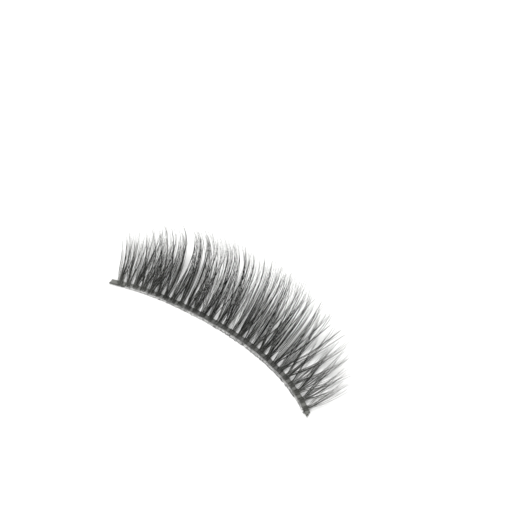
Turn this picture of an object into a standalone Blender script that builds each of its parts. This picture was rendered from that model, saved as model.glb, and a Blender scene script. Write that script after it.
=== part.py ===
"""False eyelash strip for one eye, lying flat with its lashes curling up.

The strip is a row of fibre clusters, each knotted over one thin flexible band. A line of dried clear
adhesive runs along the band's inner edge. X runs along the band's middle from the inner corner of the
eye to the outer corner, Y towards the lash tips and Z up. The origin is on the band's underside, at
the gap between its two middle knots.
"""
import math
import random

import bmesh
import bpy
from mathutils import Vector

MM = 0.001

# Driving dimensions of the band, in metres
KNOT_COUNT = 28
KNOT_PITCH = 1.1 * MM
BAND_WIDTH = 0.62 * MM
BAND_HEIGHT = 0.3 * MM
BAND_CHAMFER = 0.08 * MM
INNER_TAB = 1.5 * MM
OUTER_TAB = 0.8 * MM
TAB_CUT_SLANT = 0.35 * MM

# How the band bends in plan: degrees of slope at its ends
BEND_EVEN = 17.8
BEND_OUTER = 8.7
BEND_ENDS = 10.4
# The knots stand further apart towards the outer corner, by this share at the band's end
PITCH_GROWTH_SHARE = 0.061

# Driving dimensions of a knot
KNOT_GAP = 0.3 * MM
KNOT_FRONT = 0.2 * MM
KNOT_OVER = 0.1 * MM
KNOT_BACK = 0.5 * MM
KNOT_FOOT = 0.05 * MM
KNOT_SHOULDER = 0.07 * MM
SEAT_CLEARANCE = 0.02 * MM

# Driving dimensions of the lashes
LASH_LENGTH = 11.2 * MM
LOCK_WIDTH = 0.52 * MM
LOCK_TIP_WIDTH = 0.05 * MM
LOCK_THICKNESS = 0.06 * MM
LOCK_TIP_THICKNESS = 0.025 * MM
LOCK_TAPER_POWER = 1.7
LAYER_CLEARANCE = 0.08 * MM
ROOT_WEB = 0.3 * MM
LASH_DIP = 8.5
LASH_CURL = 97.0
CURL_LENGTH = 10.0 * MM
CURL_POWER = 1.42
CURL_LIMIT = 87.0
CURL_EASE = 14.0
SPLAY_EASE_SHARE = 0.55
LEAN_VARIATION = 1.5
SPLAY_VARIATION = 2.0
LENGTH_VARIATION_SHARE = 0.04
VARIATION_SEED = 28

# Driving dimensions of the dried adhesive
GLUE_WIDTH = 0.32 * MM
GLUE_HEIGHT = 0.14 * MM
GLUE_EDGE_HEIGHT = 0.03 * MM
GLUE_END_SHARE = 0.35
GLUE_SWELL_POWER = 1.0

# Where the adhesive starts and stops, counted in knots from the band's two ends
GLUE_START_KNOTS = 1.5
GLUE_STOP_KNOTS = 0.9

# Length of a cluster's longest lock, as a share of LASH_LENGTH
LENGTH_ROWS = (
    # share along the strip, share of LASH_LENGTH
    (0.00, 0.54),
    (0.10, 0.70),
    (0.28, 0.86),
    (0.45, 1.00),
    (0.70, 1.00),
    (0.85, 0.82),
    (0.92, 0.67),
    (0.96, 0.53),
    (1.00, 0.46),
)

# How far a cluster leans from square to the band, towards the outer corner
LEAN_ROWS = (
    # share along the strip, degrees
    (0.00, -3.0),
    (0.04, -3.0),
    (0.07, 2.0),
    (0.11, -2.0),
    (0.21, 0.0),
    (0.36, -6.0),
    (0.55, -7.0),
    (0.78, -6.0),
    (0.86, -2.0),
    (1.00, -7.0),
)

# The locks of one cluster, from the lowest layer up
LOCK_ROWS = (
    # degrees of splay at the root, share of the cluster's length
    (0.0, 1.00),
    (-13.0, 0.91),
    (13.0, 0.95),
)

# Waves in the width of the adhesive's ragged edge
GLUE_WAVES = (
    # waves along the line, share of the width, phase in radians
    (7, 0.16, 0.0),
    (19, 0.10, 1.0),
)

KNOT_WIDTH = KNOT_PITCH - KNOT_GAP
LAYER_STEP = LOCK_THICKNESS + LAYER_CLEARANCE
HALF_COUNT = KNOT_COUNT / 2
PATH_STEPS = 400
SHEET_STEPS = 40
SECTIONS_PER_PITCH = 2
LOCK_SEGMENTS = 8
EDGE_ANGLE = 40
LOCK_EDGE_ANGLE = 60


def read_rows(rows, share):
    """Value of a two-column table at this share, in straight lines between its rows."""
    for (low, start), (high, end) in zip(rows, rows[1:]):
        if share <= high:
            return start + (end - start) * max(share - low, 0) / (high - low)
    return rows[-1][1]


def band_slope(knots):
    """Angle of the band to X, so many knots from its middle. It is straight past the end knots."""
    last = HALF_COUNT - 0.5
    share = max(-last, min(last, knots)) / HALF_COUNT
    bend = BEND_EVEN * share + BEND_OUTER * share**2 + BEND_ENDS * share**3
    return -math.radians(bend)


def band_distance(knots):
    """Distance along the band from its middle."""
    return KNOT_PITCH * (knots + PITCH_GROWTH_SHARE * knots**2 / (2 * HALF_COUNT))


def band_point(knots):
    """Point of the band's middle line, in plan."""
    point = Vector((0.0, 0.0, 0.0))
    for step in range(PATH_STEPS):
        near = knots * step / PATH_STEPS
        far = knots * (step + 1) / PATH_STEPS
        slope = band_slope((near + far) / 2)
        stretch = band_distance(far) - band_distance(near)
        point += stretch * Vector((math.cos(slope), math.sin(slope), 0.0))
    return point


def band_frame(knots):
    """Point on the band's middle line, and its directions along the band and towards the lashes."""
    slope = band_slope(knots)
    along = Vector((math.cos(slope), math.sin(slope), 0.0))
    outward = Vector((-math.sin(slope), math.cos(slope), 0.0))
    return band_point(knots), along, outward


def add_ring(bm, points):
    return [bm.verts.new(point) for point in points]


def skin(bm, rings):
    """Faces between each ring of vertices and the next."""
    for near, far in zip(rings, rings[1:]):
        for k in range(len(near)):
            following = (k + 1) % len(near)
            bm.faces.new((near[k], near[following], far[following], far[k]))


def finish_object(name, bm, material, edge_angle=EDGE_ANGLE):
    """One closed mesh object from the bmesh, its faces outward."""
    bmesh.ops.recalc_face_normals(bm, faces=bm.faces)
    mesh = bpy.data.meshes.new(name)
    bm.to_mesh(mesh)
    bm.free()
    mesh.materials.append(material)
    mesh.shade_smooth()
    mesh.set_sharp_from_angle(angle=math.radians(edge_angle))
    piece = bpy.data.objects.new(name, mesh)
    bpy.context.collection.objects.link(piece)
    return piece


def make_material(name, colour, roughness, alpha=1.0):
    material = bpy.data.materials.new(name)
    material.use_nodes = True
    shader = material.node_tree.nodes["Principled BSDF"]
    shader.inputs["Base Color"].default_value = (*colour, 1.0)
    shader.inputs["Roughness"].default_value = roughness
    shader.inputs["Metallic"].default_value = 0.0
    shader.inputs["Alpha"].default_value = alpha
    return material


def sweep(name, stations, section, material):
    """Closed solid through sections (outward, height) set at stations along the band."""
    bm = bmesh.new()
    rings = []
    for knots in stations:
        point, along, outward = band_frame(knots)
        corners = [
            point + along * shift + outward * out + Vector((0, 0, height))
            for shift, out, height in section(knots)
        ]
        rings.append(add_ring(bm, corners))
    skin(bm, rings)
    bm.faces.new(rings[0])
    bm.faces.new(rings[-1])
    return finish_object(name, bm, material)


def stations_between(start, end):
    """Evenly spaced stations along the band, counted in knots from its middle."""
    count = max(2, round((end - start) * SECTIONS_PER_PITCH))
    return [start + (end - start) * i / count for i in range(count + 1)]


def make_band(material):
    """The flexible band: flat below, its upper edges chamfered and its two ends cut aslant."""
    inner_end = -(HALF_COUNT - 0.5) - INNER_TAB / KNOT_PITCH
    outer_end = HALF_COUNT - 0.5 + OUTER_TAB / KNOT_PITCH
    half = BAND_WIDTH / 2
    outline = (
        (-half, 0),
        (half, 0),
        (half, BAND_HEIGHT - BAND_CHAMFER),
        (half - BAND_CHAMFER, BAND_HEIGHT),
        (BAND_CHAMFER - half, BAND_HEIGHT),
        (-half, BAND_HEIGHT - BAND_CHAMFER),
    )

    def section(knots):
        at_end = {inner_end: 1, outer_end: -1}.get(knots, 0)
        return [(at_end * TAB_CUT_SLANT * (out + half) / BAND_WIDTH, out, height) for out, height in outline]

    return sweep("lash_band", stations_between(inner_end, outer_end), section, material)


def make_glue_line(material):
    """The dried adhesive along the band's inner edge: thick at the band, thin and ragged outside."""
    start = GLUE_START_KNOTS - HALF_COUNT
    end = HALF_COUNT - GLUE_STOP_KNOTS
    inside = -BAND_WIDTH / 2 - SEAT_CLEARANCE

    def section(knots):
        share = (knots - start) / (end - start)
        ripple = sum(size * math.sin(math.tau * waves * share + phase) for waves, size, phase in GLUE_WAVES)
        rise = max(math.sin(math.pi * share), 0) ** GLUE_SWELL_POWER
        swell = GLUE_END_SHARE + (1 - GLUE_END_SHARE) * rise
        width = GLUE_WIDTH * swell * (1 + ripple)
        return [
            (0, inside, 0),
            (0, inside, GLUE_HEIGHT * swell),
            (0, inside - width / 2, (GLUE_HEIGHT + GLUE_EDGE_HEIGHT) / 2 * swell),
            (0, inside - width, GLUE_EDGE_HEIGHT * swell),
            (0, inside - width, 0),
        ]

    return sweep("glue_line", stations_between(start, end), section, material)


def lash_angle(run):
    """Rise of the lashes above the table after this run: they dip, curl up and end nearly upright."""
    rise = LASH_CURL * (run / CURL_LENGTH) ** CURL_POWER - LASH_DIP
    eased = CURL_LIMIT - CURL_EASE
    if rise > eased:
        rise = eased + CURL_EASE * math.tanh((rise - eased) / CURL_EASE)
    return math.radians(rise)


def sheet_path(run, splay, lean):
    """Where a fibre has got to after this run on the curled sheet: sideways, outward and up."""
    sideways = 0.0
    outward = 0.0
    height = 0.0
    for step in range(SHEET_STEPS):
        middle = run * (step + 0.5) / SHEET_STEPS
        angle = lash_angle(middle)
        turn = lean + splay * (1 - SPLAY_EASE_SHARE * middle / LASH_LENGTH)
        sideways += math.tan(math.radians(turn)) * run / SHEET_STEPS
        outward += math.cos(angle) * run / SHEET_STEPS
        height += math.sin(angle) * run / SHEET_STEPS
    return Vector((sideways, outward, height))


def root_height():
    """Height of the lowest layer at the knot, so that its dip just meets the table."""
    lowest = 0.0
    run = 0.0
    while lash_angle(run) < 0:
        run += LASH_LENGTH / PATH_STEPS
        lowest = sheet_path(run, 0, 0).z
    return LOCK_THICKNESS / 2 - lowest


def lock_ring(bm, origin, layer, run, end_run, splay, lean):
    """Four corners of a lock's section after this run along it."""
    share = run / end_run
    angle = lash_angle(run)
    normal = Vector((0, -math.sin(angle), math.cos(angle)))
    turn = math.radians(lean + splay * (1 - SPLAY_EASE_SHARE * run / LASH_LENGTH))
    heading = Vector((math.tan(turn), math.cos(angle), math.sin(angle))).normalized()
    across = heading.cross(normal)
    centre = origin + sheet_path(run, splay, lean) + normal * layer * LAYER_STEP
    width = LOCK_WIDTH + (LOCK_TIP_WIDTH - LOCK_WIDTH) * share**LOCK_TAPER_POWER
    thickness = LOCK_THICKNESS + (LOCK_TIP_THICKNESS - LOCK_THICKNESS) * share
    corners = ((-1, -1), (-1, 1), (1, 1), (1, -1))
    return add_ring(bm, [centre + across * a * width / 2 + normal * n * thickness / 2 for a, n in corners])


def knot_outline(root):
    """Section of a knot (outward, height): in front of the band and over its top, with a level
    for each layer of locks up its front."""
    seat = BAND_WIDTH / 2 + SEAT_CLEARANCE
    front = seat + KNOT_FRONT
    levels = [(front, root + LAYER_STEP * (layer - 0.5)) for layer in range(len(LOCK_ROWS) + 1)]
    seat_top = BAND_HEIGHT + SEAT_CLEARANCE
    crown = max(levels[-1][1], seat_top) + KNOT_OVER
    return (
        [(seat, KNOT_FOOT), (front, KNOT_FOOT)]
        + levels
        + [
            (front - KNOT_SHOULDER, crown),
            (seat - KNOT_FRONT, crown),
            (seat - KNOT_BACK, seat_top + KNOT_OVER),
            (seat - KNOT_BACK, seat_top),
            (seat, seat_top),
        ]
    )


def make_cluster(number, root, variation, material):
    """One knot with its locks, which grow out of the knot's front face in layers."""
    knots = number - (KNOT_COUNT - 1) / 2
    share = number / (KNOT_COUNT - 1)
    lean = read_rows(LEAN_ROWS, share) + variation.uniform(-LEAN_VARIATION, LEAN_VARIATION)
    length = LASH_LENGTH * read_rows(LENGTH_ROWS, share)
    outline = knot_outline(root)
    first_level = 2
    bm = bmesh.new()
    inner = add_ring(bm, [(-KNOT_WIDTH / 2, out, height) for out, height in outline])
    outer = add_ring(bm, [(KNOT_WIDTH / 2, out, height) for out, height in outline])
    bm.faces.new(inner)
    bm.faces.new(outer)
    for k in range(len(outline)):
        following = (k + 1) % len(outline)
        mouth = [inner[k], inner[following], outer[following], outer[k]]
        layer = k - first_level
        if not 0 <= layer < len(LOCK_ROWS):
            bm.faces.new(mouth)
            continue
        splay, part = LOCK_ROWS[layer]
        splay += variation.uniform(-SPLAY_VARIATION, SPLAY_VARIATION)
        stretch = 1 + variation.uniform(-LENGTH_VARIATION_SHARE, LENGTH_VARIATION_SHARE)
        end_run = length * part * stretch * math.cos(math.radians(lean + splay))
        origin = Vector((0, outline[first_level][0], root))
        rings = [mouth]
        for segment in range(LOCK_SEGMENTS + 1):
            run = ROOT_WEB + (end_run - ROOT_WEB) * segment / LOCK_SEGMENTS
            rings.append(lock_ring(bm, origin, layer, run, end_run, splay, lean))
        skin(bm, rings)
        bm.faces.new(rings[-1])
    cluster = finish_object(f"lash_cluster_{number + 1:02d}", bm, material, LOCK_EDGE_ANGLE)
    cluster.location = band_point(knots)
    cluster.rotation_euler = (0, 0, band_slope(knots))
    return cluster


def clear_scene():
    for piece in list(bpy.data.objects):
        bpy.data.objects.remove(piece, do_unlink=True)


def main():
    clear_scene()
    band_material = make_material("coated cotton band", (0.035, 0.036, 0.034), 0.5)
    glue_material = make_material("dried clear adhesive", (0.62, 0.62, 0.6), 0.35, alpha=0.6)
    lash_material = make_material("black synthetic lash fibre", (0.012, 0.012, 0.011), 0.4)
    make_band(band_material)
    make_glue_line(glue_material)
    root = root_height()
    variation = random.Random(VARIATION_SEED)
    for number in range(KNOT_COUNT):
        make_cluster(number, root, variation, lash_material)


main()
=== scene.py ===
# %% [markdown]
# # A false eyelash strip, dressed with fibres, thread and dried adhesive
#
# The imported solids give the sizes: a thin band, twenty-eight knots that each hold a cluster of
# lashes, and a line of adhesive. This lesson grows the real thing around them: several hundred
# tapered fibres, the loops that tie them down, the coated thread and the cloudy rim of adhesive.
# Lengths are in metres, Blender's own unit, and are written as so many times MM.

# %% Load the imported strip
import math
import random

import bmesh
import bpy
from mathutils import Matrix, Vector, noise


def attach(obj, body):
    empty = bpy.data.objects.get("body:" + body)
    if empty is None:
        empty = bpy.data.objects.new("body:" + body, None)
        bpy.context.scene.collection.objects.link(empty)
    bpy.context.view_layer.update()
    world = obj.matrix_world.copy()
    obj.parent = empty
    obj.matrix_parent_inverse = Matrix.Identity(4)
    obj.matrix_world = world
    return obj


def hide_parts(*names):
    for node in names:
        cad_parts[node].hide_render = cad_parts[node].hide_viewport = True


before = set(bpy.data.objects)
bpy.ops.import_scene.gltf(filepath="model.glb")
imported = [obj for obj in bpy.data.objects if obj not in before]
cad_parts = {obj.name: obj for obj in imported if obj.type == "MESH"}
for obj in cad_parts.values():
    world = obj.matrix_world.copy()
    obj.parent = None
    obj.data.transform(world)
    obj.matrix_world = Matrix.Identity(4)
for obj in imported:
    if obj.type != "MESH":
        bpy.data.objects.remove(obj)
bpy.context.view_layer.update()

MM = 0.001


# %% [markdown]
# ## The plan of the strip
#
# X runs along the band from the inner corner of the eye to the outer one, Y towards the lash tips
# and Z up. The numbers below are the ones that the solids were made with. A scene could measure
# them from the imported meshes, but these few tables give each fibre's lean and curl exactly.

# %% Sizes of the band and its knots
KNOT_COUNT = 28
HALF_COUNT = KNOT_COUNT / 2
LAST_KNOT = HALF_COUNT - 0.5
KNOT_PITCH = 1.1 * MM
KNOT_FRONT = 0.2 * MM
BAND_WIDTH = 0.62 * MM
BAND_HEIGHT = 0.3 * MM
SEAT_CLEARANCE = 0.02 * MM
INNER_TAB = 1.5 * MM
OUTER_TAB = 0.8 * MM
TAB_CUT_SLANT = 0.35 * MM
# The band's bend in degrees: an even part, a part that grows to the outer end, and one at both ends
BEND_EVEN = 17.8
BEND_OUTER = 8.7
BEND_ENDS = 10.4
# How much wider the knots stand at the outer end than in the middle
PITCH_GROWTH_SHARE = 0.061
print("knots:", KNOT_COUNT, "about", round(KNOT_PITCH / MM, 2), "mm apart")

# %% Sizes of the lashes
LASH_LENGTH = 11.2 * MM
LOCK_THICKNESS = 0.06 * MM
LAYER_STEP = 0.14 * MM
# A lash dips at its knot and then curls up to the limit, in degrees
LASH_DIP = 8.5
LASH_CURL = 97.0
CURL_LENGTH = 10.0 * MM
CURL_POWER = 1.42
CURL_LIMIT = 87.0
CURL_EASE = 14.0
# Share of its turn to the side that a lock has lost by the full length
SPLAY_EASE_SHARE = 0.55
# Rows of (share along the strip, value): the length beside the longest, and the lean in degrees
LENGTH_ROWS = (
    (0.00, 0.54), (0.10, 0.70), (0.28, 0.86),
    (0.45, 1.00), (0.70, 1.00), (0.85, 0.82),
    (0.92, 0.67), (0.96, 0.53), (1.00, 0.46),
)
LEAN_ROWS = (
    (0.00, -3.0), (0.04, -3.0), (0.07, 2.0),
    (0.11, -2.0), (0.21, 0.0), (0.36, -6.0),
    (0.55, -7.0), (0.78, -6.0), (0.86, -2.0),
    (1.00, -7.0),
)
SHORTEST = min(part for _, part in LENGTH_ROWS)
print("lashes from", round(SHORTEST * LASH_LENGTH / MM, 1), "to", round(LASH_LENGTH / MM, 1), "mm")


# %% Where the band runs
def read_rows(rows, share):
    """Value of a two-column table at this share, in straight lines between its rows."""
    for (low, start), (high, end) in zip(rows, rows[1:]):
        if share <= high:
            return start + (end - start) * max(share - low, 0) / (high - low)
    return rows[-1][1]


def band_slope(knots):
    """Angle of the band to X, so many knots from its middle. It is straight past the end knots."""
    share = max(-LAST_KNOT, min(LAST_KNOT, knots)) / HALF_COUNT
    return -math.radians(BEND_EVEN * share + BEND_OUTER * share**2 + BEND_ENDS * share**3)


def band_distance(knots):
    """Distance along the band from its middle."""
    return KNOT_PITCH * (knots + PITCH_GROWTH_SHARE * knots**2 / (2 * HALF_COUNT))


def upward(height):
    """A step straight up."""
    return Vector((0, 0, height))


def band_point(knots, steps=120):
    """Point of the band's middle line, in plan."""
    point = Vector((0.0, 0.0, 0.0))
    for step in range(steps):
        near = knots * step / steps
        far = knots * (step + 1) / steps
        slope = band_slope((near + far) / 2)
        run = band_distance(far) - band_distance(near)
        point += run * Vector((math.cos(slope), math.sin(slope), 0.0))
    return point


def band_frame(knots):
    """Point on the band's middle line, and its directions along the band and towards the lashes."""
    slope = band_slope(knots)
    along = Vector((math.cos(slope), math.sin(slope), 0.0))
    outward = Vector((-math.sin(slope), math.cos(slope), 0.0))
    return band_point(knots), along, outward


def knot_place(number):
    """How many knots this one stands from the band's middle."""
    return number - (KNOT_COUNT - 1) / 2


INNER_END = -LAST_KNOT - INNER_TAB / KNOT_PITCH
OUTER_END = LAST_KNOT + OUTER_TAB / KNOT_PITCH
print("band from", band_point(INNER_END) / MM, "to", band_point(OUTER_END) / MM)


# %% How a lash curls
def lash_angle(run):
    """Rise of the lashes above the table after this run: they dip, curl up and end nearly upright."""
    rise = LASH_CURL * (run / CURL_LENGTH) ** CURL_POWER - LASH_DIP
    eased = CURL_LIMIT - CURL_EASE
    if rise > eased:
        rise = eased + CURL_EASE * math.tanh((rise - eased) / CURL_EASE)
    return math.radians(rise)


def lash_rise(run, steps=40):
    """Height that a lash has gained after this run. It is negative while the lash dips."""
    return sum(math.sin(lash_angle(run * (step + 0.5) / steps)) for step in range(steps)) * run / steps


def root_height(search_step=LASH_LENGTH / 400):
    """Height of the lowest layer at the knot, so that its dip just meets the table."""
    lowest = 0.0
    run = 0.0
    while lash_angle(run) < 0:
        run += search_step
        lowest = lash_rise(run)
    return LOCK_THICKNESS / 2 - lowest


ROOT = root_height()
print("lashes leave their knots", round(ROOT / MM, 3), "mm above the table")


# %% [markdown]
# ## Helpers for nodes and colour
#
# A material and a geometry tree are both made of nodes, so one function adds a node of either
# kind, with its settings and its inputs. Colours are given as hex, the way a colour picker shows
# them, and turned to the linear values that the renderer works in.

# %% Helpers for nodes and colour
def give(tree, node, inputs):
    """Sets a node's inputs, or links those that are given a node or one of its sockets."""
    for key, value in inputs.items():
        if isinstance(value, bpy.types.Node):
            value = value.outputs[0]
        if isinstance(value, bpy.types.NodeSocket):
            tree.links.new(value, node.inputs[key])
        else:
            node.inputs[key].default_value = value


def add(tree, kind, inputs=None, **settings):
    """A new node with its settings and its inputs."""
    made = tree.nodes.new(kind)
    for name, value in settings.items():
        setattr(made, name, value)
    give(tree, made, inputs or {})
    return made


def linear(code):
    """Linear colour with alpha from an sRGB hex value."""
    levels = [int(code[k:k + 2], 16) / 255 for k in (1, 3, 5)]
    return (*[c / 12.92 if c <= 0.04045 else ((c + 0.055) / 1.055) ** 2.4 for c in levels], 1.0)


def new_material(name):
    """A new material: itself, its tree, its shader, and the place on the object for patterns."""
    material = bpy.data.materials.new(name)
    material.use_nodes = True
    tree = material.node_tree
    place = add(tree, "ShaderNodeTexCoord").outputs["Object"]
    return material, tree, tree.nodes["Principled BSDF"], place


def give_ramp(ramp, stops):
    """Sets a colour ramp's stops: (place, hex)."""
    while len(ramp.elements) < len(stops):
        ramp.elements.new(0.5)
    for element, (place, code) in zip(ramp.elements, stops):
        element.position = place
        element.color = linear(code)


print("#808080 is", round(linear("#808080")[0], 3), "of white light")


# %% [markdown]
# ## The fibre's material
#
# False lashes are PBT, a polyester drawn through a fine hole, dyed black in the melt and softened
# by heat round a rod to set the curl. Drawing leaves a smooth skin, so the fibre has a soft, long
# highlight and no pores. An image could colour it, but would not show on so thin a thread. Two
# attributes that the fibres carry do more: "along" makes a fibre paler at its dusty root, and the
# other gives each fibre a random grey. That grey is painted highlight: it stands in for the sheen
# that each fibre catches at its own angle, because the dye is the same black in all of them.

# %% Black drawn fibre
# Dust on the fibres and the band starts this far from the strip's middle and is full this far
END_FROM = 8 * MM
END_TO = 16 * MM
FIBRE_SHADES = ((0.0, "#3a3b37"), (0.06, "#2a2b28"), (0.12, "#0f100d"), (1.0, "#22231f"))
# Greys of painted highlight: the dye is one black, and these stand in for the sheen a fibre catches
FIBRE_SHEEN_GREYS = ((0.0, "#0a0a08"), (0.6, "#1b1c19"), (0.85, "#4a4b46"), (1.0, "#6c6d67"))
FIBRE_DUST = "#6e6f6a"


def end_share(tree, place):
    """How far a point lies towards either end of the strip: 0 over the middle half, 1 at the ends."""
    sideways = add(tree, "ShaderNodeSeparateXYZ", {0: place}).outputs["X"]
    beside = add(tree, "ShaderNodeMath", {0: sideways}, operation="ABSOLUTE")
    return add(tree, "ShaderNodeMapRange", {0: beside, 1: END_FROM, 2: END_TO})


def make_fibre_material():
    """Black polyester with a satin skin. A mix node's two colours are its inputs 6 and 7."""
    material, tree, shader, place = new_material("black drawn PBT fibre")
    along = add(tree, "ShaderNodeAttribute", attribute_name="along").outputs["Fac"]
    sheen_share = add(tree, "ShaderNodeAttribute", attribute_name="painted_sheen").outputs["Fac"]
    shade = add(tree, "ShaderNodeValToRGB", {"Fac": along})
    give_ramp(shade.color_ramp, FIBRE_SHADES)
    # Painted highlight: a random grey for each fibre stands in for the sheen it catches at its own angle
    painted_sheen = add(tree, "ShaderNodeValToRGB", {"Fac": sheen_share})
    give_ramp(painted_sheen.color_ramp, FIBRE_SHEEN_GREYS)
    dyed_and_sheen = add(tree, "ShaderNodeMix", {0: 0.55, 6: shade, 7: painted_sheen}, data_type="RGBA").outputs[2]
    near_knot = add(tree, "ShaderNodeMapRange", {0: along, 1: 0.06, 2: 0.2, 3: 0.6, 4: 0.2})
    dust = add(tree, "ShaderNodeMath", {0: end_share(tree, place), 1: near_knot}, operation="MULTIPLY")
    dusted = add(tree, "ShaderNodeMix", {0: dust, 6: dyed_and_sheen, 7: linear(FIBRE_DUST)}, data_type="RGBA")
    # The draw varies over about 1 mm, so some fibres and stretches shine more than others
    streaks = add(tree, "ShaderNodeTexNoise", {"Vector": place, "Scale": 0.9 / MM})
    rough = add(tree, "ShaderNodeMapRange", {0: streaks, 1: 0.3, 2: 0.7, 3: 0.36, 4: 0.5})
    give(tree, shader, {
        "Base Color": dusted.outputs[2],
        "Roughness": rough,
        "IOR": 1.57,
        "Specular IOR Level": 0.22,
    })
    return material


FIBRE = make_fibre_material()
print(FIBRE.name, "has", len(FIBRE.node_tree.nodes), "nodes")

# %% [markdown]
# ## Guides: the path of each tuft
#
# On the real strip a worker loops a pinch of fibre over the thread, and the pinch parts into a few
# pointed tufts that cross the neighbours'. Modelling the fibres one by one would be slow to write
# and hard to change. Hair is made from guides instead: one line for each tuft, and a rule that
# grows fibres round it. Each guide starts at the cut end in the adhesive, goes over the band and
# down its front, and then runs along the curled sheet that the solids' locks lie on.

# %% Rows for the tufts of one cluster
# The three locks of a solid cluster: splay in degrees, length share
LOCK_ROWS = ((0.0, 1.00), (-13.0, 0.91), (13.0, 0.95))
TUFT_ROWS = (
    # lock of the solid, splay beside the lock's own in degrees, length share, sideways at the knot
    (0, -3.0, 1.12, -0.09 * MM),
    (0, 3.0, 1.14, 0.11 * MM),
    (1, -3.5, 1.15, -0.26 * MM),
    (1, 4.0, 1.22, -0.14 * MM),
    (2, 3.5, 1.13, 0.26 * MM),
    (2, -4.0, 1.20, 0.05 * MM),
)
# Half widths of a tuft at its knot, at its widest and at its tip
TUFT_ROOT_SPREAD = 0.12 * MM
TUFT_SPREAD = 0.19 * MM
TUFT_TIP_SPREAD = 0.08 * MM
TUFT_WIDEST_SHARE = 0.22
TUFT_POINT_POWER = 2.2
FIBRE_LIFT = 0.04 * MM
# A tuft leaves its knot with part of its splay and has all of it after this run. Its turn starts
# at this many times the named one and eases off on the way to the tip.
SPLAY_OPENING = 1.8 * MM
SPLAY_START = 1.1
KNOT_PATH = (
    # outward from the band's middle and height, in mm: up from the adhesive, over the band and down
    (-0.37, 0.16),
    (-0.30, 0.29),
    (-0.16, 0.345),
    (0.04, 0.355),
    (0.22, 0.345),
    (0.37, 0.31),
)
# Share of a layer's lift that it has on the knot, where the fibres are pulled tight
KNOT_LAYER_SHARE = 0.25
GUIDE_STEPS = 14
# The steps of a guide are shorter near its knot, where the tuft opens
FIRST_RUN_SHARE = 0.01
RUN_POWER = 1.15
print("tufts in a cluster:", len(TUFT_ROWS))

# %% Rows along the strip
# Share of its free splay that a tuft leaves its knot with, and how much wider the clusters open
KNOT_SPLAY_ROWS = ((0.00, 0.65), (0.30, 0.6), (0.50, 0.55), (0.68, 0.85), (1.00, 1.0))
SPLAY_SCALE_ROWS = ((0.00, 1.0), (0.60, 1.0), (0.78, 1.25), (1.00, 1.3))
# Further turn of a cluster's tufts by their tips, in degrees
DRIFT_ROWS = (
    (0.00, -14.0), (0.04, 10.0), (0.07, 6.0),
    (0.12, -12.0), (0.38, -10.0), (0.48, 0.0),
    (0.58, 10.0), (0.78, 14.0), (0.86, 8.0),
    (0.92, 0.0), (1.00, 0.0),
)
# How far the tufts reach beside the solid's locks
REACH_ROWS = (
    (0.00, 1.00), (0.11, 0.98), (0.15, 1.00),
    (0.25, 0.99), (0.45, 1.02), (0.60, 1.04),
    (0.80, 1.02), (0.92, 0.98), (1.00, 0.96),
)
# Share of the splay between a cluster's tufts that is kept, and the width of the tufts: the
# outer clusters part into fewer and tighter ones
GATHER_ROWS = ((0.00, 1.0), (0.68, 1.0), (0.80, 0.4), (1.00, 0.3))
TIGHTNESS_ROWS = ((0.00, 1.0), (0.30, 1.0), (0.50, 0.9), (0.75, 0.75), (1.00, 0.75))
# Fibres in a tuft, and loose fine fibres in a cluster
FIBRE_ROWS = (
    (0.00, 2.6), (0.05, 3.7), (0.25, 3.4),
    (0.38, 2.7), (0.60, 2.9), (0.72, 3.6),
    (0.85, 3.8), (0.93, 3.1), (0.97, 2.0),
    (1.00, 2.0),
)
STRAY_ROWS = (
    (0.00, 5.0), (0.05, 8.0), (0.25, 9.0),
    (0.35, 12.0), (0.60, 11.0), (0.80, 3.0),
    (1.00, 2.0),
)
print("fibres in a tuft at the strip's middle:", round(read_rows(FIBRE_ROWS, 0.5), 1))

# %% Partings between clusters
PARTINGS = {
    # gap after this many knots: share of the crossing splay that is left, degrees turned apart
    0: (0.3, 0.0),
    2: (0.5, 1.0),
    7: (-0.3, 5.0),
    9: (-0.1, 5.0),
    12: (0.4, 1.0),
    16: (0.2, 1.0),
    18: (0.3, 1.0),
    21: (0.2, 2.0),
    28: (0.3, 0.0),
}
NO_PARTING = (1.0, 0.0)
# How much a parting still narrows a splay one cluster further on, and how many knots it turns
FAR_PARTING_SHARE = 0.6
PARTING_REACH = 2.5


def parted_splay(number, splay):
    """Splay of a tuft, less where a parting lies on its side of the cluster or one cluster further."""
    step = 1 if splay > 0 else -1
    near = number + 1 if splay > 0 else number
    kept, _ = PARTINGS.get(near, NO_PARTING)
    kept_beyond, _ = PARTINGS.get(near + step, NO_PARTING)
    return splay * kept * (1 - FAR_PARTING_SHARE + FAR_PARTING_SHARE * kept_beyond)


def tip_drift(number):
    """How far the tufts of a cluster have turned by their tips, partings included."""
    drift = read_rows(DRIFT_ROWS, number / (KNOT_COUNT - 1))
    for gap, (_, apart) in PARTINGS.items():
        side = number - gap + 0.5
        drift += math.copysign(apart, side) * max(0.0, 1 - (abs(side) - 0.5) / PARTING_REACH)
    return drift


print("tips turn by", [round(tip_drift(number), 1) for number in (0, 7, 14, 27)], "degrees")


# %% The path and the width of a tuft
def smooth_step(share):
    """Eases a share between 0 and 1 in and out."""
    return share * share * (3 - 2 * share)


def tuft_turn(run, splay, knot_splay, lean, drift):
    """Angle of a tuft to the way square to the band: its splay at the knot turns into its own."""
    share = run / LASH_LENGTH
    opened = smooth_step(min(1.0, run / SPLAY_OPENING))
    eased = (knot_splay + (splay - knot_splay) * opened) * (SPLAY_START - SPLAY_EASE_SHARE * share)
    return math.radians(lean + eased + drift * share**2)


def tuft_heading(run, *turns):
    """Direction of a tuft: sideways, outward and up."""
    angle = lash_angle(run)
    return Vector((math.tan(tuft_turn(run, *turns)), math.cos(angle), math.sin(angle)))


def tuft_place(run, *turns, steps=30):
    """Where a tuft has got to after this run: sideways, outward and up."""
    place = Vector((0.0, 0.0, 0.0))
    for step in range(steps):
        place += tuft_heading(run * (step + 0.5) / steps, *turns) * run / steps
    return place


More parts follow.
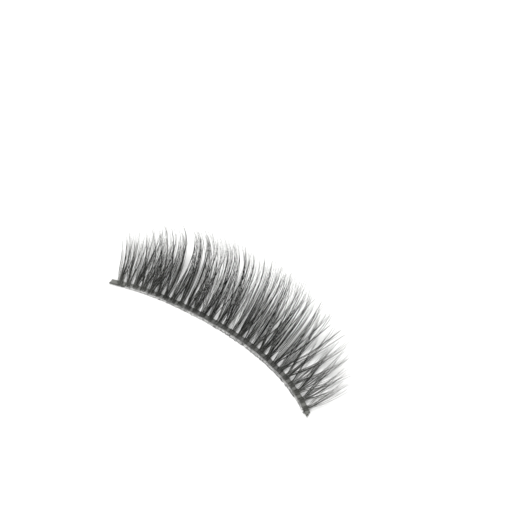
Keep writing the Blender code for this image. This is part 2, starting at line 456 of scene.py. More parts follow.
def tuft_spread(share):
    """Half width of a tuft: narrow at the knot, widest at a fifth of the way and pointed at the tip."""
    opening = smooth_step(min(1.0, share / TUFT_WIDEST_SHARE))
    opened = TUFT_ROOT_SPREAD + (TUFT_SPREAD - TUFT_ROOT_SPREAD) * opening
    return TUFT_TIP_SPREAD + (opened - TUFT_TIP_SPREAD) * (1 - max(0.0, share) ** TUFT_POINT_POWER)


def tuft_line(number, lean, layer, free_splay, length, sideways, fibres):
    """Points of one guide: place, directions across it and off the sheet, half width, fibres."""
    strip_share = number / (KNOT_COUNT - 1)
    splay = parted_splay(number, free_splay)
    turns = (splay, free_splay * read_rows(KNOT_SPLAY_ROWS, strip_share), lean, tip_drift(number))
    tightness = read_rows(TIGHTNESS_ROWS, strip_share)
    lift = layer * LAYER_STEP
    rows = []
    for out, height in KNOT_PATH:
        spot = Vector((sideways, out * MM, height * MM + lift * KNOT_LAYER_SHARE))
        rows.append((spot, Vector((1, 0, 0)), upward(1), TUFT_ROOT_SPREAD))
    end_run = length * math.cos(math.radians(lean + splay))
    front = Vector((sideways, BAND_WIDTH / 2 + SEAT_CLEARANCE + KNOT_FRONT, ROOT))
    for step in range(GUIDE_STEPS + 1):
        share = step / GUIDE_STEPS
        run = end_run * (FIRST_RUN_SHARE + (1 - FIRST_RUN_SHARE) * share**RUN_POWER)
        angle = lash_angle(run)
        normal = Vector((0, -math.sin(angle), math.cos(angle)))
        heading = tuft_heading(run, *turns).normalized()
        place = front + tuft_place(run, *turns) + normal * (lift + FIBRE_LIFT)
        rows.append((place, heading.cross(normal), normal, tuft_spread(run / end_run) * tightness))
    knots = knot_place(number)
    centre = band_point(knots)
    turn = Matrix.Rotation(band_slope(knots), 3, "Z")
    return [(centre + turn @ a, turn @ b, turn @ c, width, fibres) for a, b, c, width in rows]


print("half width of a tuft at its tip:", round(tuft_spread(1.0) / MM, 3), "mm")


# %% Draw the guides
def lock_plans():
    """The lean of each cluster, and the splay and length of its three locks, drawn as for the solids."""
    draw = random.Random(28)
    plans = []
    for number in range(KNOT_COUNT):
        share = number / (KNOT_COUNT - 1)
        lean = read_rows(LEAN_ROWS, share) + draw.uniform(-1.5, 1.5)
        length = LASH_LENGTH * read_rows(LENGTH_ROWS, share)
        locks = []
        for splay, part in LOCK_ROWS:
            splay += draw.uniform(-2.0, 2.0)
            locks.append((splay, length * part * (1 + draw.uniform(-0.04, 0.04))))
        plans.append((lean, locks))
    return plans


def draw_guides():
    """All the guides of the strip, cluster by cluster. No two tufts are quite alike."""
    draw = random.Random(11)
    lines = []
    for number, (lean, locks) in enumerate(lock_plans()):
        strip_share = number / (KNOT_COUNT - 1)
        reach = read_rows(REACH_ROWS, strip_share)
        gather = read_rows(GATHER_ROWS, strip_share)
        fibres = read_rows(FIBRE_ROWS, strip_share)
        scale = read_rows(SPLAY_SCALE_ROWS, strip_share)
        for layer, beside, part, sideways in TUFT_ROWS:
            splay, length = locks[layer]
            splay = scale * (splay + beside * gather + draw.uniform(-1.5, 1.5))
            length *= part * reach * (1 + draw.uniform(-0.06, 0.03))
            count = round(fibres + draw.uniform(-1.7, 1.7))
            lines.append(tuft_line(number, lean, layer, splay, length, sideways, count))
    return lines


# Widest splay of a loose fibre in degrees, and how far to the side of its knot it may start
STRAY_SPLAY = 17.0
STRAY_SIDEWAYS = 0.4


def draw_strays():
    """Guides for the fine loose fibres between the tufts, each for one fibre that goes its own way."""
    draw = random.Random(41)
    lines = []
    for number, (lean, locks) in enumerate(lock_plans()):
        strip_share = number / (KNOT_COUNT - 1)
        reach = read_rows(REACH_ROWS, strip_share)
        for _ in range(round(read_rows(STRAY_ROWS, strip_share))):
            layer = draw.randrange(3)
            splay = draw.uniform(-STRAY_SPLAY, STRAY_SPLAY)
            length = locks[0][1] * reach * draw.uniform(0.75, 1.15)
            sideways = draw.uniform(-STRAY_SIDEWAYS, STRAY_SIDEWAYS) * MM
            lines.append(tuft_line(number, lean, layer, splay, length, sideways, 1))
    return lines


GUIDES = draw_guides()
STRAYS = draw_strays()
FIBRE_COUNT = sum(line[0][4] for line in GUIDES)
print("guides:", len(GUIDES), "for", FIBRE_COUNT, "fibres, and", len(STRAYS), "strays")


# %% Turn the guides into one mesh of edges
def guide_mesh(name, lines):
    """A mesh of open chains, with the attributes that the tree reads."""
    mesh = bpy.data.meshes.new(name)
    points = [row[0] for line in lines for row in line]
    edges = []
    first = 0
    for line in lines:
        edges += [(first + k, first + k + 1) for k in range(len(line) - 1)]
        first += len(line)
    mesh.from_pydata(points, edges, [])
    for label, column in (("across", 1), ("lift", 2)):
        store = mesh.attributes.new(label, "FLOAT_VECTOR", "POINT")
        store.data.foreach_set("vector", [c for line in lines for row in line for c in row[column]])
    for label, kind, column in (("spread", "FLOAT", 3), ("fibres", "INT", 4)):
        store = mesh.attributes.new(label, kind, "POINT")
        store.data.foreach_set("value", [row[column] for line in lines for row in line])
    return mesh


print("points in a guide:", len(GUIDES[0]))


# %% [markdown]
# ## Growing fibres round the guides
#
# The tree copies each guide as many times as a tuft has fibres, moves each copy sideways by its
# own random share of the tuft's width, lets it wander a little, cuts it to its own length and
# sweeps a small circle along it that gets thinner towards the tip. Geometry Nodes suit this well:
# the count and the thickness stay inputs, and the same seed gives the same hair each time.

# %% The tree that grows fibres
FIBRE_TREE_SOCKETS = (
    ("Geometry", "Geometry", None),
    ("Points", "Int", 18),
    ("Root Radius", "Float", 0.03 * MM),
    ("Tip Radius", "Float", 0.01 * MM),
    ("Taper Power", "Float", 1.0),
    ("Depth", "Float", 0.03 * MM),
    ("Wander", "Float", 0.1 * MM),
    ("Root Trim", "Float", 0.0),
    ("Tip Trim", "Float", 0.0),
    ("Seed", "Int", 1),
    ("Material", "Material", None),
)
# A five-sided fibre is round enough, because it is about a pixel wide
FIBRE_SIDES = 5
# A fibre's thickness beside the usual: the thinnest, and how much more the stoutest has
THINNEST = 0.7
STOUTER = 0.75


def fibre_tree():
    """The tree that grows fibres, and the identifier of each of its inputs by name."""
    tree = bpy.data.node_groups.new("Grow fibres on guides", "GeometryNodeTree")
    identifiers = {}
    for label, kind, value in FIBRE_TREE_SOCKETS:
        socket = tree.interface.new_socket(name=label, in_out="INPUT", socket_type="NodeSocket" + kind)
        identifiers[label] = socket.identifier
        if value is not None:
            socket.default_value = value
    tree.interface.new_socket(name="Geometry", in_out="OUTPUT", socket_type="NodeSocketGeometry")
    given = add(tree, "NodeGroupInput").outputs

    # Smooth curves from the guides, one for each fibre
    chains = add(tree, "GeometryNodeMeshToCurve", {"Mesh": given["Geometry"]})
    smooth = add(tree, "GeometryNodeCurveSplineType", {"Curve": chains}, spline_type="CATMULL_ROM")
    even = add(tree, "GeometryNodeResampleCurve", {"Curve": smooth, "Count": given["Points"]})
    count = add(tree, "GeometryNodeInputNamedAttribute", {"Name": "fibres"}, data_type="INT")
    copied = {"Geometry": even, "Amount": count}
    copies = add(tree, "GeometryNodeDuplicateElements", copied, domain="SPLINE")
    index = add(tree, "GeometryNodeInputIndex")
    fibre = add(tree, "GeometryNodeFieldOnDomain", {0: index}, data_type="INT", domain="CURVE")

    def chance(low, high, shift):
        """A random number for each fibre, told apart from the others by its shift of the seed."""
        seed = add(tree, "ShaderNodeMath", {0: given["Seed"], 1: shift}, operation="ADD")
        return add(tree, "FunctionNodeRandomValue", {2: low, 3: high, 7: fibre, 8: seed}).outputs[1]

    def pushed(label, amount):
        """One of the directions that the guides carry, times this amount."""
        way = add(tree, "GeometryNodeInputNamedAttribute", {"Name": label}, data_type="FLOAT_VECTOR")
        return add(tree, "ShaderNodeVectorMath", {0: way, 3: amount}, operation="SCALE")

    # Each fibre's own place in the tuft, with a bend that grows towards the tip for a few of them
    spread = add(tree, "GeometryNodeInputNamedAttribute", {"Name": "spread"}, data_type="FLOAT")
    factor = add(tree, "GeometryNodeSplineParameter").outputs["Factor"]
    out_share = add(tree, "ShaderNodeMath", {0: factor, 1: 2.0}, operation="POWER")
    seldom = add(tree, "ShaderNodeMath", {0: chance(0.0, 1.0, 1), 1: 2.0}, operation="POWER")
    stray = add(tree, "ShaderNodeMath", {0: seldom, 1: chance(-1.0, 1.0, 2)}, operation="MULTIPLY")
    wander = add(tree, "ShaderNodeMath", {0: stray, 1: given["Wander"]}, operation="MULTIPLY")
    bend = add(tree, "ShaderNodeMath", {0: wander, 1: out_share}, operation="MULTIPLY")
    across = add(tree, "ShaderNodeMath", {0: spread, 1: chance(-1.0, 1.0, 3)}, operation="MULTIPLY")
    beside = add(tree, "ShaderNodeMath", {0: across, 1: bend}, operation="ADD")
    layer = chance(-1.0, 1.0, 4)
    above = add(tree, "ShaderNodeMath", {0: layer, 1: given["Depth"]}, operation="MULTIPLY")
    shift = add(tree, "ShaderNodeVectorMath", {0: pushed("across", beside), 1: pushed("lift", above)})
    moved = add(tree, "GeometryNodeSetPosition", {"Geometry": copies, "Offset": shift})

    # Each fibre's own length
    late = chance(0.0, 1.0, 5)
    start = add(tree, "ShaderNodeMath", {0: late, 1: given["Root Trim"]}, operation="MULTIPLY")
    short = add(tree, "ShaderNodeMath", {0: chance(0.0, 1.0, 6), 1: 1.8}, operation="POWER")
    cut = add(tree, "ShaderNodeMath", {0: short, 1: given["Tip Trim"]}, operation="MULTIPLY")
    end = add(tree, "ShaderNodeMath", {0: 1.0, 1: cut}, operation="SUBTRACT")
    trimmed = add(tree, "GeometryNodeTrimCurve", {"Curve": moved, 2: start, 3: end})
    again = add(tree, "GeometryNodeResampleCurve", {"Curve": trimmed, "Count": given["Points"]})

    # What the material reads: the place along the fibre, and a random share of painted highlight that
    # greys some fibres
    gone = add(tree, "GeometryNodeSplineParameter").outputs["Factor"]
    marked = again
    for label, value in (("along", gone), ("painted_sheen", chance(0.0, 1.0, 7))):
        values = {"Geometry": marked, "Name": label, "Value": value}
        marked = add(tree, "GeometryNodeStoreNamedAttribute", values, data_type="FLOAT", domain="POINT")

    # A tapering body
    tip_share = add(tree, "ShaderNodeMath", {0: gone, 1: given["Taper Power"]}, operation="POWER")
    radii = {0: tip_share, 3: given["Root Radius"], 4: given["Tip Radius"]}
    radius = add(tree, "ShaderNodeMapRange", radii)
    stout = add(tree, "ShaderNodeMath", {0: chance(0.0, 1.0, 8), 1: 1.5}, operation="POWER")
    stouter = add(tree, "ShaderNodeMath", {0: STOUTER, 1: stout}, operation="MULTIPLY")
    stoutness = add(tree, "ShaderNodeMath", {0: THINNEST, 1: stouter}, operation="ADD")
    thickness = add(tree, "ShaderNodeMath", {0: radius, 1: stoutness}, operation="MULTIPLY")
    circle = add(tree, "GeometryNodeCurvePrimitiveCircle", {"Resolution": FIBRE_SIDES})
    body = add(tree, "GeometryNodeCurveToMesh", {
        "Curve": marked,
        "Profile Curve": circle,
        "Scale": thickness,
        "Fill Caps": True,
    })
    shaded = add(tree, "GeometryNodeSetShadeSmooth", {"Geometry": body})
    real = add(tree, "GeometryNodeRealizeInstances", {"Geometry": shaded})
    finished = add(tree, "GeometryNodeSetMaterial", {"Geometry": real, "Material": given["Material"]})
    add(tree, "NodeGroupOutput", {"Geometry": finished})
    return tree, identifiers


FIBRE_TREE, FIBRE_INPUTS = fibre_tree()
print("nodes in the tree:", len(FIBRE_TREE.nodes))


# %% Run the tree and keep its plain mesh
def grow(name, lines, values):
    """A piece whose mesh is what the tree makes of these guides. The modifier is gone afterwards."""
    guides = guide_mesh(name + " guides", lines)
    piece = bpy.data.objects.new(name, guides)
    bpy.context.scene.collection.objects.link(piece)
    modifier = piece.modifiers.new("Nodes", "NODES")
    modifier.node_group = FIBRE_TREE
    for label, value in values.items():
        modifier[FIBRE_INPUTS[label]] = value
    evaluated = piece.evaluated_get(bpy.context.evaluated_depsgraph_get())
    made = bpy.data.meshes.new_from_object(evaluated)
    piece.modifiers.clear()
    piece.data = made
    made.name = name
    bpy.data.meshes.remove(guides)
    triangles = sum(len(face.vertices) - 2 for face in made.polygons)
    print(name, "has", triangles, "triangles")
    return piece


def place_piece(piece, slot, *nodes):
    """The piece rides with the strip and stands for these solids, which are hidden. The slot is not used.
    """
    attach(piece, "root")
    if nodes:
        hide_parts(*nodes)


# %% Grow the lashes
lashes = grow("lash_fibres", GUIDES, {
    "Root Radius": 0.0295 * MM,
    "Tip Radius": 0.008 * MM,
    "Taper Power": 2.0,
    "Depth": 0.034 * MM,
    "Wander": 0.8 * MM,
    "Root Trim": 0.045,
    "Tip Trim": 0.24,
    "Seed": 28,
    "Material": FIBRE,
})
place_piece(lashes, "lash_fibre", *[f"lash_cluster_{k + 1:02d}" for k in range(KNOT_COUNT)])
strays = grow("fine_strays", STRAYS, {
    "Root Radius": 0.014 * MM,
    "Tip Radius": 0.004 * MM,
    "Taper Power": 3.0,
    "Depth": 0.03 * MM,
    "Wander": 0.9 * MM,
    "Root Trim": 0.1,
    "Tip Trim": 0.05,
    "Seed": 31,
    "Material": FIBRE,
})
place_piece(strays, "lash_fibre")


# %% [markdown]
# ## The band
#
# The band is cotton thread, laid flat and dipped in black coating. The coating fills most of the
# thread's twist but not all, so low slanting ridges show through. A bevelled curve could make it,
# but its ridges and its two slanting cuts would then be modifiers on top. One closed section that
# is moved along the band has them as a small change of its own points.

# %% Mesh tools
def finish_piece(name, bm, material, sharp=60):
    """One mesh object from the bmesh, its faces outward and shaded smooth."""
    bmesh.ops.recalc_face_normals(bm, faces=bm.faces)
    mesh = bpy.data.meshes.new(name)
    bm.to_mesh(mesh)
    bm.free()
    mesh.materials.append(material)
    mesh.shade_smooth()
    mesh.set_sharp_from_angle(angle=math.radians(sharp))
    piece = bpy.data.objects.new(name, mesh)
    bpy.context.scene.collection.objects.link(piece)
    print(name, "has", len(mesh.polygons), "faces")
    return piece


def sweep(name, places, section, material, marks=()):
    """A closed skin through sections of points (along, outward, height), with a fan at each end.

    The marks are a value for each point of the section, kept for the material as "out".
    """
    bm = bmesh.new()
    out_mark = bm.verts.layers.float.new("out")
    rings = []
    for knots in places:
        point, along, outward = band_frame(knots)
        rings.append([
            bm.verts.new(point + along * shift + outward * out + upward(height))
            for shift, out, height in section(knots)
        ])
        for vert, mark in zip(rings[-1], marks):
            vert[out_mark] = mark
    for near, far in zip(rings, rings[1:]):
        for k in range(len(near)):
            following = (k + 1) % len(near)
            bm.faces.new((near[k], near[following], far[following], far[k]))
    for ring in (rings[0], rings[-1]):
        hub = bm.verts.new(sum((v.co for v in ring), Vector()) / len(ring))
        for k in range(len(ring)):
            bm.faces.new((ring[k], ring[(k + 1) % len(ring)], hub))
    return finish_piece(name, bm, material)


def stations(start, end, count):
    """Evenly spaced places along the band, counted in knots from its middle."""
    return [start + (end - start) * k / count for k in range(count + 1)]


# %% Coated cotton thread
# The band's blotches: dark pooled coating, and paler patches that are painted highlight on the gloss
BAND_MOTTLE_AND_HIGHLIGHT = ((0.3, "#1d1e1b"), (0.5, "#2b2c28"), (0.7, "#454641"))
BAND_WEAR = "#74756f"
BAND_WEAR_SHARE = 0.6


def make_band_material():
    """Black coated cotton: a dull satin skin, blotchy with pale patches of painted highlight, and worn
    paler at the strip's two ends.
    """
    material, tree, shader, place = new_material("coated black cotton thread")
    # The coating pools over about 0.6 mm, the width of the band, and its paler pools are painted
    # highlight
    pools = {"Vector": place, "Scale": 1.6 / MM, "Detail": 3.0, "Roughness": 0.6}
    blotch = add(tree, "ShaderNodeTexNoise", pools)
    shade = add(tree, "ShaderNodeValToRGB", {"Fac": blotch})
    give_ramp(shade.color_ramp, BAND_MOTTLE_AND_HIGHLIGHT)
    ends = end_share(tree, place)
    wear = add(tree, "ShaderNodeMath", {0: ends, 1: BAND_WEAR_SHARE}, operation="MULTIPLY")
    worn = add(tree, "ShaderNodeMix", {0: wear, 6: shade, 7: linear(BAND_WEAR)}, data_type="RGBA")
    rough = add(tree, "ShaderNodeMapRange", {0: blotch, 1: 0.3, 2: 0.7, 3: 0.38, 4: 0.6})
    # Cotton's own fibres are 0.015 mm thick, too fine to show, so they are drawn about 0.1 mm coarse
    fine = add(tree, "ShaderNodeTexNoise", {"Vector": place, "Scale": 9.0 / MM})
    bump = add(tree, "ShaderNodeBump", {"Strength": 0.4, "Distance": 0.02 * MM, "Height": fine})
    give(tree, shader, {"Base Color": worn.outputs[2], "Roughness": rough, "Normal": bump})
    return material


BAND = make_band_material()
print(BAND.name, "has", len(BAND.node_tree.nodes), "nodes")

# %% Sweep the band
BAND_CORNER = 0.1 * MM
BAND_STEPS = 420
# A strand of the thread comes round every so many knots, and crosses the band aslant
TWIST_PITCH_KNOTS = 0.55
TWIST_SLANT = 0.9
RIDGE_HEIGHT = 0.018 * MM
WOBBLE_HEIGHT = 0.012 * MM
# The last bit of each end is cut aslant, in knots
CUT_REACH = 0.2


def rounded_section(width, height, corner, points=6):
    """Points round a rectangle with rounded corners that stands on the table."""
    ring = []
    for side, (out, up) in enumerate(((1, 0), (1, 1), (-1, 1), (-1, 0))):
        hub_out = out * (width / 2 - corner)
        hub_up = up * height + (corner if up == 0 else -corner)
        for step in range(points):
            angle = math.radians(-90 + 90 * side + 90 * step / (points - 1))
            ring.append((hub_out + corner * math.cos(angle), hub_up + corner * math.sin(angle)))
    return ring


def cut_slant(knots, out):
    """How far a point of the band is moved along it, so that both ends are cut aslant."""
    if knots < INNER_END + CUT_REACH:
        return TAB_CUT_SLANT * (out / BAND_WIDTH + 0.5)
    if knots > OUTER_END - CUT_REACH:
        return -TAB_CUT_SLANT * (out / BAND_WIDTH + 0.5)
    return 0.0


def band_section(knots):
    """The band's section: rounded, ridged above, and cut aslant at its two ends."""
    rows = []
    widened = 1 + 0.02 * math.sin(knots * 2.1)
    for out, height in rounded_section(BAND_WIDTH, BAND_HEIGHT, BAND_CORNER):
        phase = math.tau * (knots / TWIST_PITCH_KNOTS + TWIST_SLANT * out / BAND_WIDTH)
        ridge = RIDGE_HEIGHT * (abs(math.sin(phase / 2)) - 0.6) * min(1.0, height / BAND_HEIGHT * 1.5)
        wobble = WOBBLE_HEIGHT * noise.noise(Vector((knots * 1.7, out / MM * 3, 0)))
        top = max(height + ridge + wobble * height / BAND_HEIGHT, 0)
        rows.append((cut_slant(knots, out), out * widened, top))
    return rows


band = sweep("coated_band", stations(INNER_END, OUTER_END, BAND_STEPS), band_section, BAND)
place_piece(band, "band", "lash_band")

# %% [markdown]
# ## The loops of the knots
#
# Each cluster is tied down by a few turns of its own fibre round the band. A loop could be one
# shape set on points, but then all the loops would be the same. The tree that grew the lashes
# already turns a path into fibres, each a little to one side, so it winds the loops as well: three
# paths over the band for each knot, each tilted a little by chance.

# %% Wind the loops
LOOP_PATH = (
    # outward from the band's middle and height, in mm: from behind, over the band and down its front
    (-0.29, 0.05),
    (-0.335, 0.15),
    (-0.31, 0.29),
    (-0.20, 0.36),
    (0.0, 0.375),
    (0.20, 0.36),
    (0.33, 0.31),
    (0.36, 0.18),
    (0.32, 0.06),
)
# Places of the loops beside the middle of the knot, in mm, and how far a loop strays and tilts
LOOPS_BESIDE = (-0.24, 0.0, 0.23)
LOOP_STRAY = 0.04
LOOP_TILT = 0.12
LOOP_SPREAD = 0.012 * MM
# Each short path, here and in the steps below, grows this many fibres
FIBRES_ON_PATH = 2


def loop_lines():
    """Paths of the loops over the band."""
    draw = random.Random(5)
    lines = []
    for number in range(KNOT_COUNT):
        for beside in LOOPS_BESIDE:
            strayed = beside + draw.uniform(-LOOP_STRAY, LOOP_STRAY)
            tilt = draw.uniform(-LOOP_TILT, LOOP_TILT)
            point, along, outward = band_frame(knot_place(number) + strayed * MM / KNOT_PITCH)
            line = []
            for out, height in LOOP_PATH:
                place = point + (along * tilt + outward) * out * MM + upward(height * MM)
                line.append((place, along, outward, LOOP_SPREAD, FIBRES_ON_PATH))
            lines.append(line)
    return lines


loops = grow("knot_loops", loop_lines(), {
    "Points": 16,
    "Root Radius": 0.03 * MM,
    "Tip Radius": 0.028 * MM,
    "Depth": 0.012 * MM,
    "Wander": 0.03 * MM,
    "Seed": 7,
    "Material": FIBRE,
})
place_piece(loops, "lash_fibre")


# %% [markdown]
# ## The cut ends of the fibres and of the thread
#
# Behind the band the fibres are cut off short, and their ends stand in the adhesive at all angles
# like stubble. From the middle of the strip outwards, cut crumbs of fibre also stick along the
# adhesive's rim. The band's own thread frays where it is cut. All of these are short fibres, so
# the same tree grows them on short guides.

# %% Stubble and crumbs in the adhesive
STUBBLE_PER_KNOT = 10
CRUMBS_PER_KNOT = 6
CRUMB_KNOTS = range(13, 26)


def short_line(start, middle, end, along, outward, spread):
    """A guide of three points for a few short fibres."""
    return [(place, along, outward, spread, FIBRES_ON_PATH) for place in (start, middle, end)]


def cut_end_lines():
    """Short guides from the band's back edge down into the adhesive, and crumbs along its rim."""
    draw = random.Random(3)
    lines = []
    for number in range(KNOT_COUNT):
        for _ in range(STUBBLE_PER_KNOT):
            knots = knot_place(number) + draw.uniform(-0.5, 0.5)
            strip_share = (knots + HALF_COUNT) / KNOT_COUNT
            point, along, outward = band_frame(knots)
            # The stubble is shortest at the inner corner, where there is little adhesive
            reach = draw.uniform(0.06, 0.34) * MM * min(1.0, 0.3 + 2.2 * strip_share)
            slant = draw.uniform(-0.35, 0.35) * MM
            start = point - outward * 0.27 * MM + upward(draw.uniform(0.10, 0.26) * MM)
            end = point - outward * (BAND_WIDTH / 2 + reach) + along * slant
            end += upward(draw.uniform(0.02, 0.07) * MM)
            middle = (start + end) / 2 + upward(0.03 * MM)
            lines.append(short_line(start, middle, end, along, outward, 0.02 * MM))
        for _ in range(CRUMBS_PER_KNOT if number in CRUMB_KNOTS else 0):
            knots = knot_place(number) + draw.uniform(-0.5, 0.5)
            point, along, outward = band_frame(knots)
            start = point - outward * (BAND_WIDTH / 2 + draw.uniform(0.18, 0.34) * MM) + upward(0.07 * MM)
            length = draw.uniform(0.2, 0.6) * MM
            end = start + along * length + outward * draw.uniform(-0.06, 0.06) * MM
            lines.append(short_line(start, (start + end) / 2, end, along, outward, 0.01 * MM))
    return lines


stubble = grow("cut_ends", cut_end_lines(), {
    "Points": 5,
    "Root Radius": 0.015 * MM,
    "Tip Radius": 0.009 * MM,
    "Depth": 0.01 * MM,
    "Wander": 0.15 * MM,
    "Tip Trim": 0.4,
    "Seed": 17,
    "Material": FIBRE,
})
place_piece(stubble, "lash_fibre")


# %% Frayed thread at the cut ends of the band
FRAYED_THREADS = 6


def thread_end_lines():
    """Short guides out of the band's two cut ends."""
    draw = random.Random(9)
    lines = []
    for knots, step in ((INNER_END, -1), (OUTER_END, 1)):
        point, along, outward = band_frame(knots)
        for k in range(FRAYED_THREADS):
            out = BAND_WIDTH * (k / (FRAYED_THREADS - 1) - 0.5) * 0.8
            height = draw.uniform(0.08, 0.2) * MM
            start = point + outward * out + along * cut_slant(knots, out) + upward(height)
            start -= along * step * 0.1 * MM
            reach = draw.uniform(0.18, 0.34) * MM
            end = start + along * step * reach + outward * draw.uniform(-0.05, 0.05) * MM
            lines.append(short_line(start, (start + end) / 2, end, along, outward, 0.02 * MM))
    return lines


threads = grow("thread_ends", thread_end_lines(), {
    "Points": 6,
    "Root Radius": 0.045 * MM,
    "Tip Radius": 0.02 * MM,
    "Depth": 0.02 * MM,
    "Wander": 0.1 * MM,
    "Tip Trim": 0.3,
    "Seed": 5,
    "Material": BAND,
})
place_piece(threads, "band")


# %% [markdown]
# ## The dried adhesive
#
# Clear latex adhesive dries cloudy where it is thick and has tiny bubbles, so it reads as a pale,
# slightly glossy rim. Its outer edge is ragged, because it was brushed on, and at the inner corner
# it is white and creeps furthest over the band. A displaced strip could make it. A swept section
# is simpler, because its width and its creep are then two tables along the strip.

# %% Cloudy adhesive
GLUE_SHADES = ((0.3, "#a8a8a6"), (0.7, "#e8e8e7"))
# Grey levels that stand for how well the adhesive covers, from the band's top out to the rim
GLUE_COVER = ((0.0, "#000000"), (0.3, "#6c6c6c"), (0.5, "#c4c4c4"), (0.8, "#dcdcdc"), (1.0, "#484848"))
# It covers this many times better at the inner corner, and no better past the second place
INNER_COVER = 2.8
INNER_COVER_FROM = -15 * MM
INNER_COVER_TO = -7 * MM


def make_glue_material():
    """Dried latex: cloudy, slightly glossy, and thin enough to see through at its two edges."""
    material, tree, shader, place = new_material("dried clear latex adhesive")
    # The real bubbles are about 0.05 mm, too fine to show, so the clouds are drawn 0.4 mm wide
    clouds = {"Vector": place, "Scale": 2.2 / MM, "Detail": 4.0, "Roughness": 0.65}
    cloud = add(tree, "ShaderNodeTexNoise", clouds)
    shade = add(tree, "ShaderNodeValToRGB", {"Fac": cloud})
    give_ramp(shade.color_ramp, GLUE_SHADES)
    out = add(tree, "ShaderNodeAttribute", attribute_name="out").outputs["Fac"]
    cover = add(tree, "ShaderNodeValToRGB", {"Fac": out})
    cover.color_ramp.interpolation = "EASE"
    give_ramp(cover.color_ramp, GLUE_COVER)
    patchy = add(tree, "ShaderNodeMapRange", {0: cloud, 1: 0.3, 2: 0.7, 3: 0.6, 4: 1.3})
    beside = add(tree, "ShaderNodeSeparateXYZ", {0: place}).outputs["X"]
    inner_part = {0: beside, 1: INNER_COVER_FROM, 2: INNER_COVER_TO, 3: INNER_COVER, 4: 1.0}
    inner = add(tree, "ShaderNodeMapRange", inner_part)
    thick = add(tree, "ShaderNodeMath", {0: patchy, 1: inner}, operation="MULTIPLY")
    alpha = add(tree, "ShaderNodeMath", {0: cover, 1: thick}, operation="MULTIPLY", use_clamp=True)
    rough = add(tree, "ShaderNodeMapRange", {0: cloud, 1: 0.3, 2: 0.7, 3: 0.25, 4: 0.45})
    give(tree, shader, {"Base Color": shade, "Roughness": rough, "IOR": 1.48, "Alpha": alpha})
    return material


GLUE = make_glue_material()
print(GLUE.name, "has", len(GLUE.node_tree.nodes), "nodes")

# %% Sweep the adhesive
# The adhesive's two ends, counted in knots from the band's middle
GLUE_START = 1.2 - HALF_COUNT
GLUE_STOP = HALF_COUNT - 0.9
GLUE_STEPS = 400
GLUE_CREST = 0.13 * MM
GLUE_FOOT = 0.06 * MM
# Where each point of the section lies between the band's top, 0, and the outer rim, 1
GLUE_MARKS = (0.0, 0.0, 0.15, 0.3, 0.5, 0.7, 0.85, 0.95, 1.0, 1.0, 0.5)
# Width of the rim in mm: thin at the inner corner, full from a third of the way
GLUE_WIDTH_ROWS = (
    (0.00, 0.05), (0.08, 0.09), (0.22, 0.14),
    (0.34, 0.24), (0.70, 0.28), (0.85, 0.27),
    (1.00, 0.18),
)
# How far the film creeps up over the band, in mm: most at the inner corner
GLUE_CREEP_ROWS = ((0.00, 0.30), (0.20, 0.26), (0.38, 0.08), (1.00, 0.10))


def glue_section(knots):
    """The adhesive's section: a film up over the band's back edge and a thin rim with a frayed width."""
    share = (knots - GLUE_START) / (GLUE_STOP - GLUE_START)
    ripple = 0.12 * math.sin(math.tau * 9 * share) + 0.08 * math.sin(math.tau * 23 * share + 1)
    fray = 0.24 * noise.noise(Vector((knots * 3.1, 0, 0)))
    fray += 0.22 * noise.noise(Vector((knots * 9.7, 5, 0)))
    width = read_rows(GLUE_WIDTH_ROWS, share) * MM * (1 + ripple + fray)
    crest = GLUE_CREST * (1 + 0.25 * noise.noise(Vector((knots * 5.3, 9, 0))))
    creep = read_rows(GLUE_CREEP_ROWS, share) * MM * (1 + 0.3 * noise.noise(Vector((knots * 4.1, 3, 0))))
    back = -BAND_WIDTH / 2
    foot = back - GLUE_FOOT
    return [
        (0, back + 0.02 * MM + creep, 0.20 * MM),
        (0, back + creep, 0.305 * MM),
        (0, back + creep * 0.5, 0.335 * MM),
        (0, back, 0.33 * MM),
        (0, foot, 0.24 * MM),
        (0, foot - width * 0.2, crest),
        (0, foot - width * 0.55, crest * 0.6),
        (0, foot - width * 0.85, crest * 0.3),
        (0, foot - width, 0.012 * MM),
        (0, foot - width, 0),
        (0, back + 0.05 * MM, 0),
    ]


GLUE_STATIONS = stations(GLUE_START, GLUE_STOP, GLUE_STEPS)
glue = sweep("adhesive_rim", GLUE_STATIONS, glue_section, GLUE, GLUE_MARKS)
place_piece(glue, "adhesive", "glue_line")

# %% [markdown]
# ## Floor, light and camera
#
# The strip lies on white paper in soft light. The floor is a plain white sheet, a wide lamp above
# gives the soft shade under the lashes, and the sky fills in the rest. The camera looks down
# steeply, as in the photograph, with a lens of about 63 mm.

# %% Floor
# The sheet lies this much under the strip, so that no two faces share a plane
FLOOR_GAP = 0.02 * MM
FLOOR_HALF = 600 * MM


def make_floor():
    """A plain sheet of paper, matt and nearly white."""
    material, tree, shader, place = new_material("white matt paper")
    # Paper's fibres are 0.03 mm thick, too fine to show, so they are drawn 0.25 mm coarse
    grain = add(tree, "ShaderNodeTexNoise", {"Vector": place, "Scale": 4.0 / MM})
    bump = add(tree, "ShaderNodeBump", {"Strength": 0.05, "Distance": 0.005 * MM, "Height": grain})
    give(tree, shader, {
        "Base Color": linear("#f4f4f3"),
        "Roughness": 0.9,
        "Specular IOR Level": 0.1,
        "Normal": bump,
    })
    bm = bmesh.new()
    bmesh.ops.create_grid(bm, x_segments=1, y_segments=1, size=FLOOR_HALF)
    bmesh.ops.translate(bm, verts=bm.verts, vec=(0, 0, -FLOOR_GAP))
    floor = finish_piece("floor", bm, material)


make_floor()


# %% Light
LAMP_PLACE = (-0.12, 0.10, 0.35)
LAMP_ACROSS = 0.3
LAMP_WATTS = 1.1
SKY_STRENGTH = 0.75


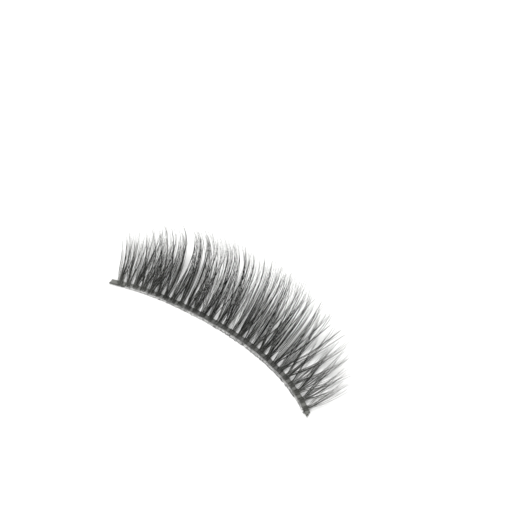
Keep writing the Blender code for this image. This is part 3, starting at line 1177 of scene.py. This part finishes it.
def add_lamp():
    """One wide round lamp, high behind the strip and turned to its middle."""
    lamp = bpy.data.lights.new("overhead", "AREA")
    lamp.shape = "DISK"
    lamp.size = LAMP_ACROSS
    lamp.energy = LAMP_WATTS
    holder = bpy.data.objects.new("overhead", lamp)
    holder.location = LAMP_PLACE
    holder.rotation_euler = (-Vector(LAMP_PLACE)).to_track_quat("-Z", "Y").to_euler()
    bpy.context.scene.collection.objects.link(holder)


def add_sky():
    """An even white sky."""
    world = bpy.data.worlds.new("studio")
    bpy.context.scene.world = world
    world.use_nodes = True
    sky = world.node_tree.nodes["Background"]
    sky.inputs["Color"].default_value = (1, 1, 1, 1)
    sky.inputs["Strength"].default_value = SKY_STRENGTH


add_sky()
add_lamp()
print("lamp:", LAMP_WATTS, "W,", LAMP_ACROSS, "m across, and the sky at", SKY_STRENGTH)

# %% Camera
# Direction of the view in degrees, and the lens as the picture's focal length in pixels
CAMERA_AZIMUTH = 32.5
CAMERA_ELEVATION = 61.53
CAMERA_ROLL = 0.13
CAMERA_DISTANCE = 118.0 * MM
CAMERA_AIM = Vector((-1.33 * MM, 10.75 * MM, 0))
FOCAL_PIXELS = 900
IMAGE_PIXELS = 516
SENSOR_WIDTH = 36.0


def make_camera():
    """The camera that looks from the photograph's side."""
    azimuth = math.radians(CAMERA_AZIMUTH)
    elevation = math.radians(CAMERA_ELEVATION)
    roll = math.radians(CAMERA_ROLL)
    ahead = Vector((-math.sin(azimuth), math.cos(azimuth), 0))
    looking = ahead * math.cos(elevation) - upward(math.sin(elevation))
    level = Vector((math.cos(azimuth), math.sin(azimuth), 0))
    upright = level.cross(looking)
    right = level * math.cos(roll) + upright * math.sin(roll)
    up = upright * math.cos(roll) - level * math.sin(roll)
    data = bpy.data.cameras.new("camera")
    data.sensor_width = SENSOR_WIDTH
    data.lens = FOCAL_PIXELS / IMAGE_PIXELS * SENSOR_WIDTH
    data.clip_start = 5 * MM
    camera = bpy.data.objects.new("camera", data)
    turn = Matrix((right, up, -looking)).transposed()
    camera.matrix_world = Matrix.Translation(CAMERA_AIM - looking * CAMERA_DISTANCE) @ turn.to_4x4()
    bpy.context.scene.collection.objects.link(camera)
    bpy.context.scene.camera = camera
    print("lens:", round(data.lens, 1), "mm")


make_camera()
bpy.context.scene.view_settings.view_transform = "Standard"
bpy.context.scene.view_settings.look = "None"

# %% Finish
bpy.context.view_layer.update()
